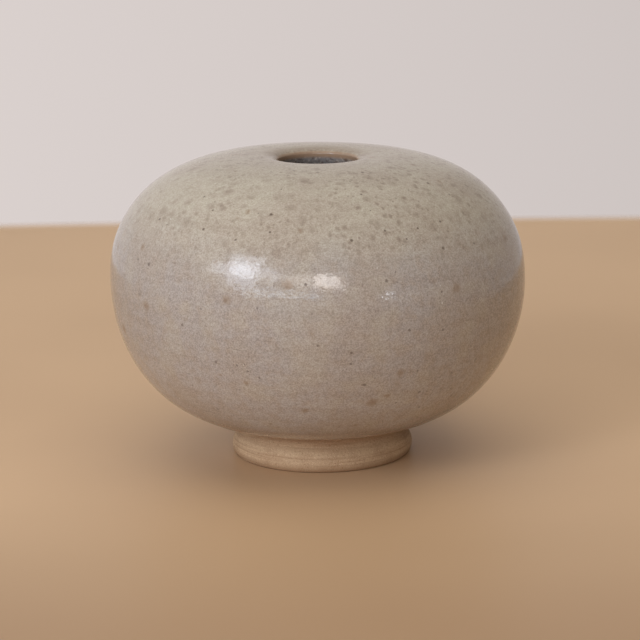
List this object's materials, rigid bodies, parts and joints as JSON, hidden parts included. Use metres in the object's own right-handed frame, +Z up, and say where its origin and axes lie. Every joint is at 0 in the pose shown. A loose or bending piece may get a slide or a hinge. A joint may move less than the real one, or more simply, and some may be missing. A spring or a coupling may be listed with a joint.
{
  "type": "globe vase",
  "caption": "Round stoneware globe vase with a small rolled-in mouth, a speckled oatmeal glaze, a glazed inside that holds water, and a bare turned foot ring.",
  "frame": {"origin": "centre of the foot ring's tread, on the wheel axis, at the level of the table", "axes": "+Z up along the wheel axis through the mouth; the picture looks along +Y, with +X to its right"},
  "size_m": [0.17, 0.17, 0.1245],
  "materials": {
    "stoneware_body": "bare fired clay, matt",
    "bare_foot": "bare turned clay, matt and slightly sandy",
    "outer_glaze": "speckled satin-gloss glaze",
    "liner_glaze": "plain glossy liner glaze"
  },
  "bodies": {
    "root": {"lower_bowl": "stoneware_body", "upper_bowl": "stoneware_body", "foot_ring": "bare_foot", "outer_glaze": "outer_glaze", "liner_glaze": "liner_glaze"}
  },
  "joints": []
}
